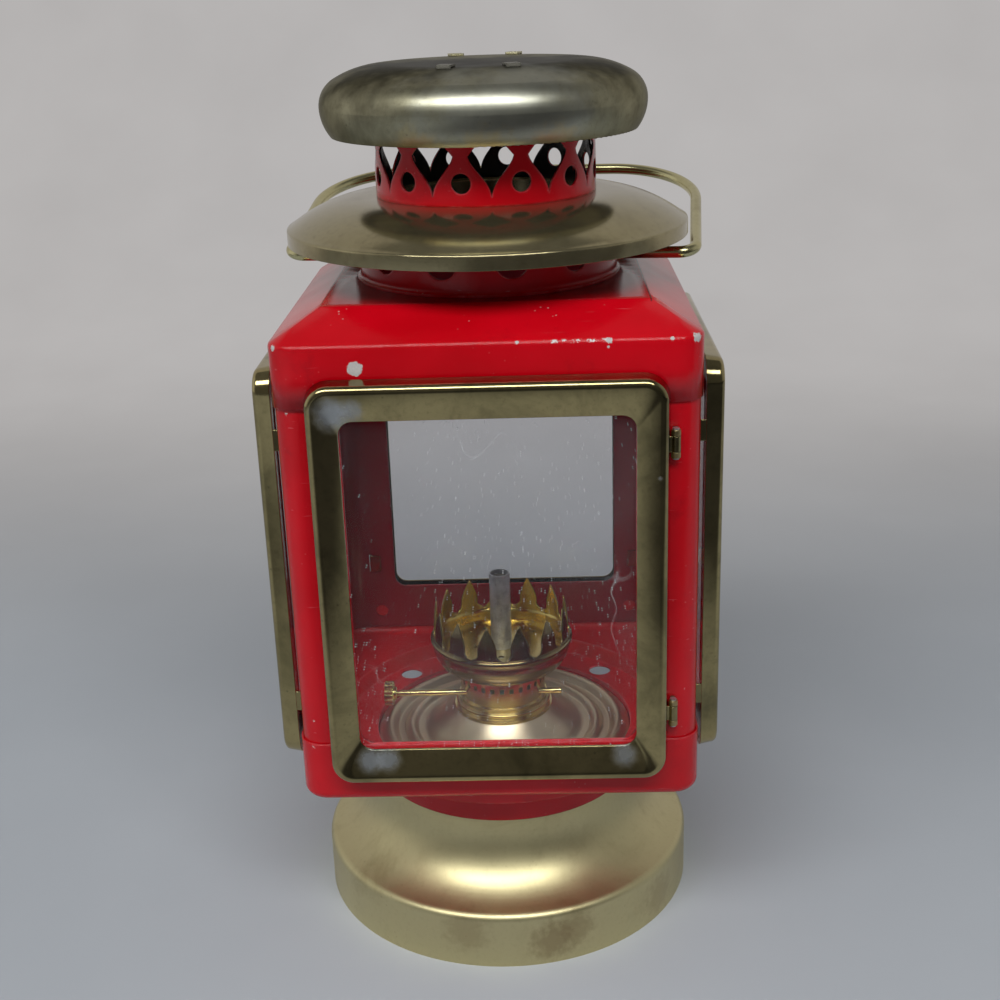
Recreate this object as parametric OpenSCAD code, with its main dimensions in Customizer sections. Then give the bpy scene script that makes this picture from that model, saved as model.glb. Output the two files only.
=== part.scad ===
// Square-bodied oil lantern of painted sheet and spun brass, on a brass foot that holds the fuel.
// The origin is under the middle of the foot, +Z is up and the door faces -Y.

/* [Foot] */
// Diameter of the brass foot
foot_d = 119; // [108:0.5:130]
// Height of the upright band round the foot
band_h = 15.6; // [10:0.1:20]
// Radius of the shoulder above the band
shoulder_r = 2.6; // [1.5:0.1:4]
// Height of the whole foot, up to the painted neck
foot_h = 40.7; // [36:0.1:48]
// Outer diameter of the neck of the foot
neck_d = 84.8; // [82:0.1:90]
// Height of the plain upright lip on top of the foot
lip_h = 2.9; // [1:0.1:5]
// Thickness of the spun brass
brass_t = 0.8; // [0.6:0.05:1]

/* [Body] */
// Width of the sleeve at each side of a window frame
side_w = 9; // [8:0.1:12]
// Height from the underside of the tray to the fold of the roof
body_h = 136.3; // [132:0.1:150]
// Outer radius of the upright corners of the sleeve
corner_r = 6.8; // [5:0.1:8]
// Thickness of the painted sheet
sheet = 0.6; // [0.5:0.05:0.8]
// Height from the foot to the underside of the tray
neck_h = 17.2; // [12:0.1:24]
// Depth of the round dish pressed into the floor
dish_h = 5; // [3:0.1:8]
// Width of the floor outside the flat of the dish
dish_edge = 5.25; // [4.8:0.05:7]
// Height of the tray's rim
tray_h = 18.9; // [14:0.1:19.5]
// Radius of the tray's lower edge
tray_edge_r = 3; // [2:0.1:4]
// Height of the upright skirt of the hood
skirt_h = 17.1; // [12:0.1:18]
// Rise of the roof from its fold to its flat top
roof_rise = 7.8; // [5:0.1:12]
// How far the roof slopes in from its fold to its flat top
roof_run = 13.5; // [10:0.1:16]
// Number of air holes in the floor
air_holes = 4; // [3:1:8]
// Share of the dish's flat ring that an air hole takes up
air_hole_share = 0.7; // [0.3:0.05:0.8]

/* [Windows] */
// Width of a window
window_w = 79; // [70:0.5:82]
// Height of a window
window_h = 98; // [90:0.5:98]
// Corner radius of a window
window_r = 4; // [2:0.1:6]
// Outer width of a window frame
frame_w = 96.5; // [92:0.5:98]
// Outer height of a window frame
frame_h = 119; // [112:0.5:122]
// Outer corner radius of a window frame
frame_r = 7; // [6.8:0.1:9]
// How far the frames stand off the sleeve
frame_stand = 1.8; // [1.6:0.05:2.6]
// Depth of a frame, back edge to ridge
frame_depth = 5; // [4.6:0.1:6.5]
// How far the skirt of a frame leans in from back to ridge
frame_flare = 1.1; // [0.6:0.1:1.6]
// Thickness of the frame's brass sheet
frame_t = 0.7; // [0.5:0.05:0.8]
// Thickness of the glass
glass_t = 2; // [1.6:0.1:2]
// Height of a fixing tongue
tongue_h = 6; // [4:0.5:8]
// Distance of the tongues and hinges above and below the middle of a window
tongue_z = 40; // [30:0.5:44]

/* [Door hinge] */
// Diameter of the hinge pin
pin_d = 1.2; // [1.1:0.1:1.4]
// Outer diameter of a hinge knuckle
knuckle_d = 2.6; // [2.5:0.1:3]
// Length of the door's knuckle
knuckle_l = 4.4; // [4:0.1:7]
// Length of each of the two knuckles of a bracket
ear_l = 1.5; // [1.4:0.1:3]

/* [Flue and brim] */
// Height from the roof to the lower edge of the brim
flue_h = 11; // [9:0.1:14]
// How far the flange of the flue collar stands out
flange_w = 0.9; // [0.7:0.05:2.5]
// Number of round vents in the flue collar
flue_vents = 12; // [8:1:12]
// Diameter of a round vent in the flue collar
flue_vent_d = 9; // [6:0.1:9]
// Turn of the vents about the upright axis, in degrees
flue_turn = 11.6; // [0:0.1:29]
// Diameter of the brim
brim_d = 116.4; // [110:0.1:117]
// Height of the turned-down edge of the brim
brim_edge = 4.3; // [3:0.1:6]
// Rounding of the edge of the brim
brim_round = 1; // [0.9:0.05:2]
// Height of the boss above the brim
boss_h = 8; // [7.2:0.1:10]
// Rounding of the top of the boss
boss_round = 4.6; // [3:0.1:5]
// Fillet at the foot of the boss
boss_fillet = 1.2; // [0.9:0.05:2]

/* [Vent gallery and cap] */
// Outer diameter of the vent gallery
gallery_d = 63.6; // [60:0.1:64]
// Height of the gallery that shows between boss and cap
gallery_h = 17.2; // [15:0.1:20]
// Number of petals round the gallery
petals = 12; // [8:1:12]
// Turn of the petals about the upright axis, in degrees
petal_turn = 19.5; // [0:0.1:29]
// Height of the point of the notch between petals
notch_z = 2.4; // [1.5:0.1:4]
// Height of the narrow waist of the petals
waist_z = 13.4; // [11:0.1:14.5]
// Width of a petal at its waist
waist_w = 4.2; // [3:0.1:5]
// Height of the upper point of an opening
apex_z = 20.6; // [18:0.1:23]
// Diameter of the hole in each petal
petal_hole_d = 5.4; // [3:0.1:6]
// Height of the hole in each petal
petal_hole_z = 6.25; // [5.8:0.05:7.5]
// Diameter of the cap at its widest
cap_d = 93.2; // [88:0.1:98]
// Diameter of the lower rim of the cap
cap_rim_d = 87.8; // [84:0.1:87.9]
// Height from the rim of the cap to its widest place
cap_side_h = 8; // [6:0.1:10]
// Radius of the shoulder of the cap
cap_shoulder_r = 8.5; // [6:0.1:10]
// Radius of the gentle curve on top of the cap
cap_crown_r = 28; // [24:0.5:30]

/* [Bail] */
// Diameter of the bail wire
wire_d = 3.4; // [2.6:0.1:3.6]
// Width of the bail between the middles of its arms
bail_w = 121; // [121:0.5:132]
// Length of the bail from its pivot to the middle of its grip
bail_l = 69; // [68.5:0.5:84]
// Radius of the bail's upper corners
bail_corner_r = 28; // [20:0.5:40]
// Height of the bail's pivot above the roof
pivot_h = 5; // [3.5:0.1:5.5]
// Slope of the bail above level as it lies back, in degrees
bail_lean = 13; // [8:0.5:20]
// Turn of the bail's pivot off the middle between two vents, in degrees
bail_skew = 2.6; // [0:0.1:3]

/* [Fuel tank] */
// Height of the flat of the tank's lid above the ground
lid_z = 51.9; // [48:0.1:52.5]
// Radius of the two raised beads on the lid
bead_r = 1.4; // [1.2:0.05:1.8]
// Radius of the ring that the inner bead follows
bead_ring_r = 30.8; // [30:0.1:32]
// Rise of the lid's middle to the burner collar
lid_rise = 7.3; // [5:0.1:9]

/* [Burner] */
// Outer diameter of the burner's perforated band
burner_d = 27.4; // [25:0.1:28]
// Height of the burner collar above the lid
burner_collar_h = 3.3; // [2.5:0.1:4.5]
// Height of the band above the flange of the burner
burner_band_h = 8.2; // [7.8:0.1:10]
// Number of square holes round the band
band_holes = 28; // [16:1:32]
// Outer diameter of the crown
crown_d = 45.8; // [42:0.1:48]
// Height of the crown's bowl above its seat
bowl_h = 11.5; // [10.5:0.1:14]
// Height of the crown's prongs above the bowl
prong_h = 11.8; // [9:0.1:14]
// Number of prongs
prongs = 12; // [8:1:14]
// Turn of the prongs about the upright axis, in degrees
prong_turn = 21; // [0:0.5:29]
// Outer diameter of the wick tube
tube_d = 6.6; // [6.4:0.1:7.4]
// Thickness of the wick tube's wall
tube_t = 0.5; // [0.4:0.05:0.6]
// Height of the wick tube above the tips of the prongs
tube_above = 10; // [5:0.5:16]
// Gap between the wick and its tube
wick_gap = 0.3; // [0.2:0.05:0.5]
// Diameter of the wick raiser's shaft
shaft_d = 2; // [1.6:0.1:2.2]
// Distance of the raiser's shaft in front of the wick
shaft_off = 6.2; // [6.1:0.1:7]
// Length of the shaft from the wick to the knob's outer face
knob_reach = 38; // [30:0.5:38]
// Diameter of the raiser's knob
knob_d = 8; // [6:0.1:9]
// Thickness of the raiser's knob
knob_t = 3.6; // [2:0.1:4]

/* [Hidden] */
$fn = 96;
eps = 0.01;
hair = 0.004;
lap_gap = 0.05;
slide_gap = 0.3;
run_gap = 0.06;
tank_gap = 0.4;
pin_gap = 0.02;
glass_gap = 0.3;
// How far a cutter runs past the sheet that it cuts
cut = 1;

// Heights of the stack, from the ground up
tray_z = foot_h + neck_h;
fold_z = tray_z + body_h;
roof_z = fold_z + roof_rise;
brim_z = roof_z + flue_h;
brim_top_z = brim_z + brim_edge;
gallery_z = brim_top_z + boss_h;
cap_z = gallery_z + gallery_h;
window_z = tray_z + body_h / 2;

// Half widths of the square parts
body_w = frame_w + 2 * side_w;
sleeve_half = body_w / 2;
shell_half = sleeve_half + lap_gap + sheet;
shell_r = corner_r + lap_gap + sheet;
frame_back = sleeve_half + frame_stand;

// Radii of the round parts
foot_r = foot_d / 2;
neck_r = neck_d / 2;
tank_r = neck_r - brass_t - tank_gap;
well_r = tank_r + slide_gap;
gallery_r = gallery_d / 2;
gallery_inset = 0.1;
boss_r = gallery_r + gallery_inset + boss_round;
flue_r = boss_r + boss_fillet;
flange_r = flue_r + flange_w;
brim_r = brim_d / 2;
cap_r = cap_d / 2;

// Foot: the slope where the shoulder runs into the cove, found by repeating the step until it settles
cove_top = foot_h - lip_h;
function shoulder_end(a) = [foot_r - shoulder_r * (1 - cos(a)), band_h + shoulder_r * sin(a)];
function cove_dx(a) = shoulder_end(a)[0] - neck_r;
function cove_dz(a) = cove_top - shoulder_end(a)[1];
function cove_radius(a) = (pow(cove_dx(a), 2) + pow(cove_dz(a), 2)) / (2 * cove_dx(a));
function next_slope(a) = atan2(cove_dz(a), cove_radius(a) - cove_dx(a));
function cove_slope(a, n) = n == 0 ? a : cove_slope(next_slope(a), n - 1);
first_slope = 70;
slope_steps = 12;
slope = cove_slope(first_slope, slope_steps);
cove_r = cove_radius(slope);

// Dish of the floor
dish_lean = 1.2;
dish_r = sleeve_half - dish_edge;
air_ring_r = (well_r + dish_r) / 2;
air_hole_d = air_hole_share * (dish_r - well_r);

// Roof slope
shell_flat = shell_half - roof_run;
roof_slope = atan2(roof_rise, roof_run);

// Cap: the shoulder turns this far before the crown takes over
cap_turn = 60;
cap_wide_z = cap_z + cap_side_h;
cap_inset = (cap_d - cap_rim_d) / 2;
cap_side_r = (pow(cap_side_h, 2) + pow(cap_inset, 2)) / (2 * cap_inset);
cap_flat_r = cap_r - cap_shoulder_r * (1 - cos(cap_turn)) - cap_crown_r * cos(cap_turn);
cap_top_z = cap_wide_z + cap_shoulder_r * sin(cap_turn) + cap_crown_r * (1 - sin(cap_turn));
crown_mid_z = cap_top_z - cap_crown_r;
function cap_in_z(r) = crown_mid_z + sqrt(pow(cap_crown_r - brass_t, 2) - pow(max(r - cap_flat_r, 0), 2));
function cap_out_z(r) = crown_mid_z + sqrt(pow(cap_crown_r, 2) - pow(max(r - cap_flat_r, 0), 2));
gallery_top_z = cap_in_z(gallery_r) - lap_gap;
tab_w = 4;
tab_l = 3.6;
tab_turns = [73, 107, 253, 287];
tab_root = 2;
vent_in = 6;
petal_in = 4;
brim_lap = 2.6;
vent_top = 0.9;
flue_fillet = 0.8;

// Bail
pivot_z = roof_z + pivot_h;
bail_turn = flue_turn - 180 / flue_vents - bail_skew;
elbow_r = 5;
grip_half = bail_w / 2 - bail_corner_r;
elbow_x = bail_w / 2 - elbow_r;
wire_hole_d = wire_d + 2 * slide_gap;
wire_in = 3;

// Window frames and their tongues
glass_back = 0.1;
ledge_out = glass_back + glass_t + frame_t;
ridge_w = 1.3;
slope_w = 5.2;
crest_drop = 0.6;
crest_in = 0.5;
crest_low = 0.1;
fall_in = 0.6;
fall_drop = 0.3;
slope_back = 0.2;
tongue_x = frame_w / 2 - frame_t / 2;
slot_gap = 0.25;
clip_w = 8;
clip_l = 4;
clip_t = 0.5;
tongue_bend = 3.5;
tongue_root = 0.5;
catch_l = 2;
back_dot_x = 45;
back_dot_d = 4.4;

// Door hinge
pin_x = frame_w / 2 + knuckle_d / 2 + slide_gap;
wall_clear = 0.6;
pin_out = knuckle_d / 2 + wall_clear - frame_stand;
ear_gap = 0.15;
hinge_h = knuckle_l + 2 * ear_l + 2 * ear_gap;
web_t = 1;
web_root = 0.3;
pad_w = 4.8;
pin_head_t = 0.5;
pin_head_d = pin_d + 0.6;

// Burner heights
collar_z = lid_z + lid_rise;
flange_z = collar_z + burner_collar_h;
flange_t = 1.3;
band_z = flange_z + flange_t;
seat_z = band_z + burner_band_h;
bowl_z = seat_z + bowl_h;
prong_z = bowl_z + prong_h;
tube_top_z = prong_z + tube_above;
burner_r = burner_d / 2;
crown_r = crown_d / 2;
tube_r = tube_d / 2;
wick_r = tube_r - tube_t - wick_gap;
burner_t = 0.6;
plug_step = 0.8;
plug_r = burner_r - plug_step;
plug_l = 1.5;
flange_lip = 0.7;
thread_gap = 0.05;
neck_up = 2.5;
bowl_r = bowl_h - neck_up;
bowl_x = crown_r - bowl_r;
prong_lean = 0.6;
plate_up = 4.5;
plate_gap = 0.15;
plate_r = bowl_x + sqrt(pow(bowl_r - burner_t, 2) - pow(bowl_r - plate_up, 2)) - plate_gap;
plate_rows = [[0.4, 8], [0.7, 16]];
plate_hole_d = 1.8;
shaft_up = 2.5;
shaft_z = band_z + shaft_up;
hole_row_drop = 2.2;
hole_row_z = seat_z - hole_row_drop;
band_hole = [4, 1.3, 1.6];
wheel_gap = 0.2;
wheel_r = shaft_off - wick_r - wheel_gap;
wheel_t = 1.6;
stub_x = 19;
wick_drop = 1.3;
wick_foot = 4;
tube_foot_z = collar_z - 1;
wheel_teeth = 12;
wheel_tooth_r = 0.7;
wheel_tooth_out = 0.25;
knob_flutes = 16;
flute_r = 0.55;
flute_out = 0.2;
knob_hub = 0.55;
knob_step = 0.8;

// Lid of the tank and the collar of the burner
cone_foot_r = bead_ring_r - bead_r - 0.8;
cone_top_r = burner_r + 3;
lid_bore_r = plug_r + 0.3;
bead_edge = 0.2;
bead_rings = [bead_ring_r, tank_r - bead_r - bead_edge];
collar_r = burner_r + 1;
collar_foot_r = burner_r + 2.2;
collar_foot_h = 1;
collar_roll_r = 0.6;
collar_roll_drop = 0.9;

brass = "#b7a45f";
red = "#b3121f";
steel = "#8d9296";
clear = "#dfe8ea";
cotton = "#e9e2cf";

// A wedge that keeps the part of a profile between two angles less than 180 degrees apart
module wedge(c, size, a0, a1) {
    mid = (a0 + a1) / 2;
    far = size / cos((a1 - a0) / 2) + size;
    pts = [for (a = [a0, mid, a1]) c + far * [cos(a), sin(a)]];
    polygon(concat([c], pts));
}

// A band of sheet that follows an arc, from radius r inward by t, with a joining dot at both ends
module arc_band(c, r, t, a0, a1) {
    intersection() {
        translate(c) difference() {
            circle(r);
            circle(r - t);
        }
        wedge(c, r, a0, a1);
    }
    for (a = [a0, a1]) {
        translate(c + (r - t / 2) * [cos(a), sin(a)]) circle(t / 2 + hair);
    }
}

// A flat square with rounded corners
module rounded_square(half_x, half_y, r) {
    square([2 * half_x, 2 * (half_y - r)], center = true);
    square([2 * (half_x - r), 2 * half_y], center = true);
    for (sx = [-1, 1]) {
        for (sy = [-1, 1]) {
            translate([sx * (half_x - r), sy * (half_y - r)]) circle(r);
        }
    }
}

// A profile swept round a rounded rectangle: x = 0 is the middle of the corner rounding
module sweep_round(half_x, half_y, r) {
    for (k = [0 : 3]) {
        corner = [[1, 1], [-1, 1], [-1, -1], [1, -1]][k];
        run = k % 2 == 0 ? half_x - r : half_y - r;
        reach = k % 2 == 0 ? half_y - r : half_x - r;
        translate([corner[0] * (half_x - r), corner[1] * (half_y - r), 0])
            rotate(90 * k) rotate_extrude(angle = 90) children();
        rotate(90 * k) translate([0, reach, 0]) rotate([90, 0, 90])
            linear_extrude(2 * run, center = true) children();
    }
}

// A rounded square tube standing on z = 0
module square_tube(half, r, h, t) {
    linear_extrude(h) difference() {
        rounded_square(half, half, r);
        rounded_square(half - t, half - t, r - t);
    }
}

// Children repeated round the upright axis
module around(n, turn = 0) {
    for (i = [0 : n - 1]) rotate(turn + i * 360 / n) children();
}

// Children set on the four sides of the body: side 0 is the front, then right, back and left
module on_side(side) {
    rotate(90 * side) translate([0, -frame_back, window_z]) rotate([90, 0, 0]) children();
}

module base_skirt() {
    neck_mid = [neck_r + cove_r, cove_top];
    shoulder_mid = [foot_r - shoulder_r, band_h];
    color(brass) rotate_extrude() {
        translate([foot_r - brass_t, 0]) square([brass_t, band_h]);
        arc_band(shoulder_mid, shoulder_r, brass_t, 0, slope);
        arc_band(neck_mid, cove_r + brass_t, brass_t, 180, 180 + slope);
        translate([neck_r - brass_t, cove_top]) square([brass_t, lip_h]);
    }
}

module base_plate() {
    color(steel) cylinder(r = foot_r - brass_t - lap_gap, h = brass_t);
}

module tank_drum() {
    color(brass) translate([0, 0, brass_t]) difference() {
        cylinder(r = tank_r, h = lid_z - 2 * brass_t);
        translate([0, 0, brass_t]) cylinder(r = tank_r - brass_t, h = lid_z);
    }
}

module tank_lid() {
    t = brass_t;
    hollow = bead_r - t;
    color(brass) rotate_extrude() difference() {
        union() {
            translate([cone_foot_r, lid_z - t]) square([tank_r - cone_foot_r, t]);
            for (r = bead_rings) {
                intersection() {
                    translate([r, lid_z - t / 2]) circle(bead_r);
                    translate([r - bead_r, lid_z - t]) square([2 * bead_r, 2 * bead_r]);
                }
            }
            polygon([
                [cone_foot_r + eps, lid_z - t], [cone_foot_r + eps, lid_z], [cone_top_r, collar_z],
                [lid_bore_r, collar_z], [lid_bore_r, collar_z - t], [cone_top_r - t / 2, collar_z - t]
            ]);
        }
        for (r = bead_rings) {
            translate([r, lid_z - t / 2]) circle(hollow);
            translate([r - hollow, lid_z - t / 2 - cut]) square([2 * hollow, cut]);
        }
    }
}

module burner_collar() {
    color(brass) translate([0, 0, collar_z]) rotate_extrude() {
        bore = plug_r + thread_gap;
        translate([bore, 0]) square([collar_foot_r - bore, collar_foot_h]);
        translate([bore, 0]) square([collar_r - bore, burner_collar_h]);
        translate([collar_r, burner_collar_h - collar_roll_drop]) circle(collar_roll_r);
    }
}

module burner_body() {
    color(brass) difference() {
        rotate_extrude() {
            translate([plug_r - burner_t, collar_z - plug_l])
                square([burner_t, flange_z - collar_z + plug_l + eps]);
            translate([plug_r - burner_t, flange_z])
                square([burner_r + flange_lip - plug_r + burner_t, flange_t]);
            translate([burner_r - burner_t, band_z - eps]) square([burner_t, burner_band_h + eps]);
            translate([tube_r + lap_gap, seat_z - burner_t]) square([burner_r - tube_r - lap_gap, burner_t]);
        }
        around(band_holes) translate([burner_r, 0, hole_row_z]) cube(band_hole, center = true);
        translate([0, -shaft_off, shaft_z]) rotate([0, 90, 0])
            cylinder(d = shaft_d + 2 * run_gap, h = 2 * crown_d, center = true);
    }
}

// The gap between two prongs, as seen from outside, with its foot at y = 0
module prong_gap(pitch) {
    foot_w = 0.27 * pitch;
    belly_w = 0.21 * pitch;
    neck_w = 0.425 * pitch;
    tip_w = 0.475 * pitch;
    foot = [for (a = [180 : 15 : 360]) [foot_w * cos(a), foot_w * (1 + sin(a)) / 2]];
    side = [[belly_w, 0.36 * prong_h], [neck_w, 0.74 * prong_h], [tip_w, prong_h], [tip_w, prong_h + cut]];
    left = [for (i = [3 : -1 : 0]) [-side[i][0], side[i][1]]];
    polygon(concat(foot, side, left));
}

module burner_crown() {
    t = burner_t;
    depth = 2 * prong_lean + t + 2 * cut;
    color(brass) difference() {
        rotate_extrude() {
            translate([burner_r - t, seat_z]) square([t, bowl_z - bowl_r - seat_z + t]);
            translate([burner_r - t, bowl_z - bowl_r]) square([max(bowl_x - burner_r + t, t), t]);
            arc_band([bowl_x, bowl_z], bowl_r, t, -90, 0);
            polygon([
                [crown_r - t, bowl_z], [crown_r, bowl_z],
                [crown_r - prong_lean, prong_z], [crown_r - prong_lean - t, prong_z]
            ]);
        }
        around(prongs, prong_turn) translate([crown_r + cut, 0, bowl_z]) rotate([90, 0, -90])
            linear_extrude(depth + cut) prong_gap(2 * PI * crown_r / prongs);
    }
}

module air_plate() {
    color(brass) translate([0, 0, bowl_z - bowl_r + plate_up]) difference() {
        cylinder(r = plate_r, h = burner_t);
        translate([0, 0, -cut]) cylinder(r = tube_r + lap_gap, h = burner_t + 2 * cut);
        for (row = plate_rows) {
            around(row[1]) translate([row[0] * plate_r, 0, -cut])
                cylinder(d = plate_hole_d, h = burner_t + 2 * cut);
        }
    }
}

module wick_tube() {
    window = wheel_r + cut;
    color(steel) difference() {
        translate([0, 0, tube_foot_z]) cylinder(r = tube_r, h = tube_top_z - tube_foot_z);
        translate([0, 0, tube_foot_z - cut]) cylinder(r = tube_r - tube_t, h = tube_top_z);
        translate([-wheel_t, -2 * tube_r, shaft_z - window]) cube([2 * wheel_t, 2 * tube_r, 2 * window]);
    }
}

module wick() {
    foot = 2 * brass_t + wick_foot;
    color(cotton) translate([0, 0, foot]) cylinder(r = wick_r, h = tube_top_z - wick_drop - foot);
}

module raiser_shaft() {
    color(steel) translate([-knob_reach + knob_t, -shaft_off, shaft_z]) rotate([0, 90, 0])
        cylinder(d = shaft_d, h = knob_reach - knob_t + stub_x);
}

module raiser_wheel() {
    color(steel) translate([0, -shaft_off, shaft_z]) rotate([0, 90, 0]) difference() {
        cylinder(r = wheel_r, h = wheel_t, center = true);
        cylinder(d = shaft_d + 2 * lap_gap, h = 2 * wheel_t, center = true);
        around(wheel_teeth) translate([wheel_r + wheel_tooth_out, 0, 0])
            cylinder(r = wheel_tooth_r, h = 2 * wheel_t, center = true);
    }
}

module raiser_knob() {
    color(brass) translate([-knob_reach, -shaft_off, shaft_z]) rotate([0, 90, 0]) difference() {
        union() {
            cylinder(d = knob_d, h = knob_t - knob_step);
            cylinder(d = knob_d * knob_hub, h = knob_t);
        }
        around(knob_flutes) translate([knob_d / 2 + flute_out, 0, -cut])
            cylinder(r = flute_r, h = knob_t + 2 * cut);
    }
}

module neck_collar() {
    color(red) translate([0, 0, foot_h]) difference() {
        cylinder(r = neck_r, h = neck_h - dish_h);
        translate([0, 0, -cut]) cylinder(r = well_r, h = neck_h);
    }
}

module floor_tray() {
    inner = shell_half - shell_r;
    e = tray_edge_r;
    rim_r = dish_r + dish_lean;
    color(red) translate([0, 0, tray_z]) difference() {
        union() {
            difference() {
                union() {
                    sweep_round(shell_half, shell_half, shell_r) {
                        translate([shell_r - sheet, e]) square([sheet, tray_h - e]);
                        arc_band([shell_r - e, e], e, sheet, -90, 0);
                        square([shell_r - e, sheet]);
                    }
                    translate([-inner - eps, -inner - eps, 0])
                        cube([2 * inner + 2 * eps, 2 * inner + 2 * eps, sheet]);
                }
                translate([0, 0, -cut]) cylinder(r = rim_r, h = sheet + 2 * cut);
            }
            rotate_extrude() polygon([
                [well_r, -dish_h], [dish_r + sheet, -dish_h], [rim_r + sheet, 0], [rim_r + sheet, sheet],
                [rim_r, sheet], [dish_r, sheet - dish_h], [well_r, sheet - dish_h]
            ]);
        }
        around(air_holes, 45) translate([air_ring_r, 0, -dish_h - cut])
            cylinder(d = air_hole_d, h = sheet + 2 * cut);
    }
}

// The slots in the sleeve for the tongues and hinges of one side, cut through its wall
module side_slots(door) {
    depth = 4 * (frame_stand + sheet);
    for (sy = [-1, 1]) {
        for (sx = door ? [-1] : [-1, 1]) {
            translate([sx * tongue_x, sy * tongue_z, -frame_stand])
                cube([frame_t + 2 * slot_gap, tongue_h + 2 * slot_gap, depth], center = true);
        }
        if (door) {
            translate([pin_x, sy * tongue_z, -frame_stand])
                cube([web_t + slot_gap, hinge_h + 2 * slot_gap, depth], center = true);
        }
    }
}

module wall_sleeve() {
    foot = tray_z + tray_edge_r;
    top = fold_z - 2 * sheet;
    color(red) difference() {
        translate([0, 0, foot]) square_tube(sleeve_half, corner_r, top - foot, sheet);
        for (side = [0 : 3]) {
            on_side(side) {
                translate([0, 0, -frame_stand - sheet - cut]) linear_extrude(sheet + 2 * cut)
                    rounded_square(window_w / 2, window_h / 2, window_r);
                side_slots(side == 0);
            }
        }
        for (sx = [-1, 1]) {
            translate([sx * back_dot_x, sleeve_half + cut, tray_z + tray_h / 2]) rotate([90, 0, 0])
                cylinder(d = back_dot_d, h = sheet + 2 * cut);
        }
    }
}

// The solid under the hood's sheet: a rounded square prism cut by four sloping planes
module hood_block(half, r, foot, fold, flat, top) {
    side = [[-half, foot], [half, foot], [half, fold], [flat, top], [-flat, top], [-half, fold]];
    intersection() {
        translate([0, 0, foot]) linear_extrude(top - foot) rounded_square(half, half, r);
        for (turn = [0, 90]) {
            rotate([90, 0, turn]) linear_extrude(4 * half, center = true) polygon(side);
        }
    }
}

module hood() {
    foot = fold_z - skirt_h;
    fold_in = fold_z - sheet * tan((90 - roof_slope) / 2);
    flat_in = shell_flat - sheet * tan(roof_slope / 2);
    color(red) difference() {
        hood_block(shell_half, shell_r, foot, fold_z, shell_flat, roof_z);
        hood_block(shell_half - sheet, shell_r - sheet, foot - cut, fold_in, flat_in, roof_z - sheet);
        cylinder(r = flue_r - sheet, h = 2 * roof_z);
    }
}

module flue_collar() {
    top = brim_top_z - brass_t;
    fillet = flue_fillet;
    color(red) difference() {
        rotate_extrude() {
            translate([flue_r - sheet, roof_z]) square([sheet, top - roof_z]);
            translate([flue_r - sheet, roof_z]) square([flange_r - flue_r + sheet, sheet]);
            difference() {
                translate([flue_r - eps, roof_z]) square([fillet, fillet + sheet]);
                translate([flue_r + fillet, roof_z + sheet + fillet]) circle(fillet);
            }
        }
        around(flue_vents, flue_turn) translate([flue_r - vent_in, 0, top - vent_top - flue_vent_d / 2])
            rotate([0, 90, 0]) cylinder(d = flue_vent_d, h = vent_in + 2 * cut);
        around(2, bail_turn) translate([flue_r - vent_in, 0, pivot_z]) rotate([0, 90, 0])
            cylinder(d = wire_hole_d, h = vent_in + 2 * cut);
    }
}

module brim() {
    t = brass_t;
    e = brim_round;
    b = boss_round;
    f = boss_fillet;
    hole_r = gallery_r - brim_lap;
    rise = boss_h - b - f;
    color(brass) rotate_extrude() {
        translate([brim_r - t, brim_z]) square([t, brim_edge - e]);
        arc_band([brim_r - e, brim_top_z - e], e, t, 0, 90);
        translate([boss_r + f, brim_top_z - t]) square([brim_r - e - boss_r - f, t]);
        arc_band([boss_r + f, brim_top_z + f], f + t, t, 180, 270);
        translate([boss_r - t, brim_top_z + f]) square([t, rise]);
        arc_band([boss_r - b, brim_top_z + f + rise], b, t, 0, 90);
        translate([hole_r, gallery_z - t]) square([boss_r - b - hole_r, t]);
    }
}

// One opening between two petals: a pointed foot, flowing sides, sharp corners and a straight-sided top
module petal_opening(pitch) {
    steps = 9;
    wide = (pitch - waist_w) / 2;
    ease = function(t) 0.3 * t + 0.7 * t * t * (3 - 2 * t);
    side = [for (i = [0 : steps]) let (t = i / steps)
        [wide * ease(pow(t, 1.2)), notch_z + (waist_z - notch_z) * t]];
    left = [for (i = [steps : -1 : 1]) [-side[i][0], side[i][1]]];
    polygon(concat(side, [[0, apex_z]], left));
}

module vent_gallery() {
    pitch = 2 * PI * gallery_r / petals;
    through = gallery_r + cut;
    color(red) difference() {
        union() {
            translate([0, 0, gallery_z]) difference() {
                cylinder(r = gallery_r, h = gallery_top_z - gallery_z);
                translate([0, 0, -cut]) cylinder(r = gallery_r - sheet, h = gallery_top_z);
            }
            for (turn = tab_turns) rotate(turn) cap_tab();
        }
        around(petals, petal_turn + 180 / petals) translate([through, 0, gallery_z]) rotate([90, 0, -90])
            linear_extrude(petal_in + cut) petal_opening(pitch);
        around(petals, petal_turn) translate([gallery_r - petal_in, 0, gallery_z + petal_hole_z])
            rotate([0, 90, 0]) cylinder(d = petal_hole_d, h = petal_in + cut);
    }
}

// A tongue of the gallery that passes through the cap and is bent flat on top of it
module cap_tab() {
    lift = cap_out_z(gallery_r - sheet - tab_l) + lap_gap;
    translate([gallery_r - sheet - eps, -tab_w / 2, gallery_top_z - tab_root])
        cube([sheet, tab_w, lift + sheet - gallery_top_z + tab_root]);
    translate([gallery_r - sheet - tab_l, -tab_w / 2, lift]) cube([tab_l + sheet - eps, tab_w, sheet]);
}

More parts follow.
